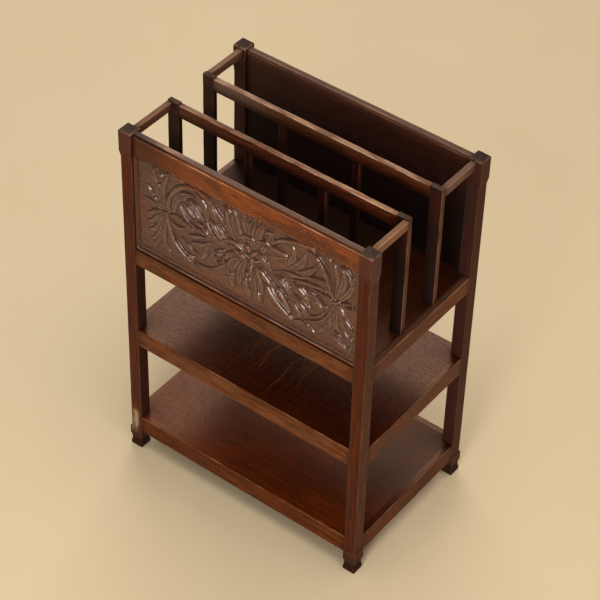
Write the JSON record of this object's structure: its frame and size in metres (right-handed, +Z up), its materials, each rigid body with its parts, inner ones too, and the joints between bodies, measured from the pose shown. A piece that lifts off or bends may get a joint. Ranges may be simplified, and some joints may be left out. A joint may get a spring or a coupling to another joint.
{
  "type": "magazine stand",
  "caption": "Oak magazine stand with square corner posts, open pockets between a carved front board and a plain back board, and open shelves below.",
  "frame": {"origin": "on the floor under the middle of the stand, level with the undersides of the four feet", "axes": "+Z up; the carved front board faces -Y; +X runs along the long side, to the right as seen from the front"},
  "size_m": [0.521, 0.331, 0.762],
  "materials": {
    "dark_oak": "satin, dark stained oak",
    "brown_oak": "satin, brown stained oak",
    "warm_oak": "satin, warm brown stained oak",
    "worn_oak": "satin, stain worn lighter by handling"
  },
  "bodies": {
    "root": {"back_divider_end_post_left": "dark_oak", "back_divider_end_post_right": "dark_oak", "back_divider_rail": "worn_oak", "back_divider_slat_left": "dark_oak", "back_divider_slat_right": "dark_oak", "back_end_rail_left": "worn_oak", "back_end_rail_right": "worn_oak", "back_panel": "dark_oak", "bottom_rail_back": "brown_oak", "bottom_rail_front": "brown_oak", "bottom_rail_left": "brown_oak", "bottom_rail_right": "brown_oak", "bottom_shelf_board": "brown_oak", "carved_front_panel": "warm_oak", "front_divider_end_post_left": "dark_oak", "front_divider_end_post_right": "dark_oak", "front_divider_rail": "worn_oak", "front_divider_slat_left": "dark_oak", "front_divider_slat_right": "dark_oak", "front_end_rail_left": "worn_oak", "front_end_rail_right": "worn_oak", "magazine_rail_back": "warm_oak", "magazine_rail_front": "warm_oak", "magazine_rail_left": "warm_oak", "magazine_rail_right": "warm_oak", "magazine_shelf_board": "brown_oak", "middle_rail_back": "warm_oak", "middle_rail_front": "warm_oak", "middle_rail_left": "warm_oak", "middle_rail_right": "warm_oak", "middle_shelf_board": "brown_oak", "post_back_left": "dark_oak", "post_back_right": "dark_oak", "post_front_left": "dark_oak", "post_front_right": "dark_oak"}
  },
  "joints": []
}
